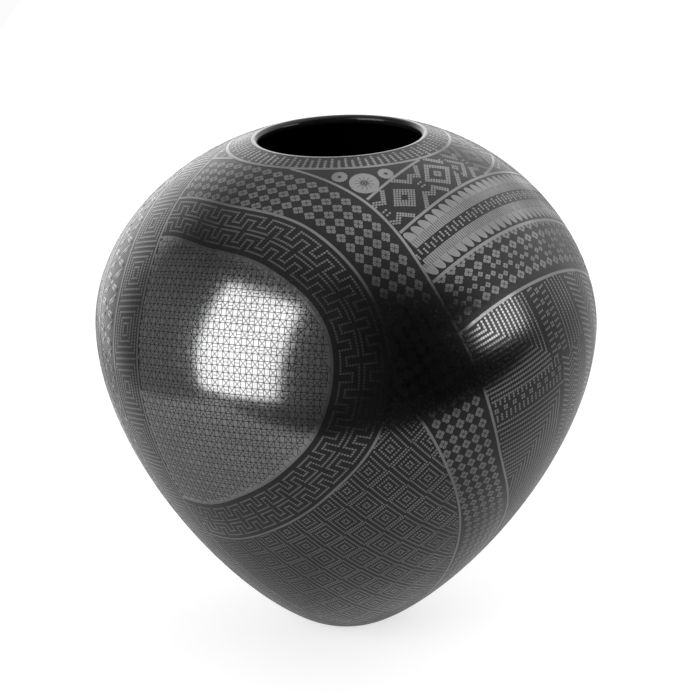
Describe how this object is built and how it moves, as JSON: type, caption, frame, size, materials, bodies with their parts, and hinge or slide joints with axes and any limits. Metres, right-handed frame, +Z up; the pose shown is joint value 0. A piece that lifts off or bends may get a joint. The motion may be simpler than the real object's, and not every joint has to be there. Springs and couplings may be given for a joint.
{
  "type": "black clay pot",
  "caption": "Round-shouldered black clay olla with a small flat foot and a narrow open mouth, burnished and covered in fine geometric panels.",
  "frame": {"origin": "centre of the flat foot, on the surface the pot stands on", "axes": "+Z up along the axis of the pot, -Y towards the front of the decoration, +X to the right seen from the front"},
  "size_m": [0.27, 0.27, 0.2754],
  "materials": {
    "black_clay": "fired black clay, satin ground left between the polished strokes",
    "polished_clay": "black clay burnished with a stone to a grey metallic shine"
  },
  "bodies": {
    "root": {"base_pat": "black_clay", "wall_coil_1": "black_clay", "wall_coil_2": "black_clay", "wall_coil_3": "black_clay", "wall_coil_4": "black_clay", "wall_coil_5": "black_clay", "wall_coil_6": "black_clay", "wall_coil_7": "black_clay", "wall_coil_8": "black_clay", "lip_roll": "polished_clay"}
  },
  "joints": []
}
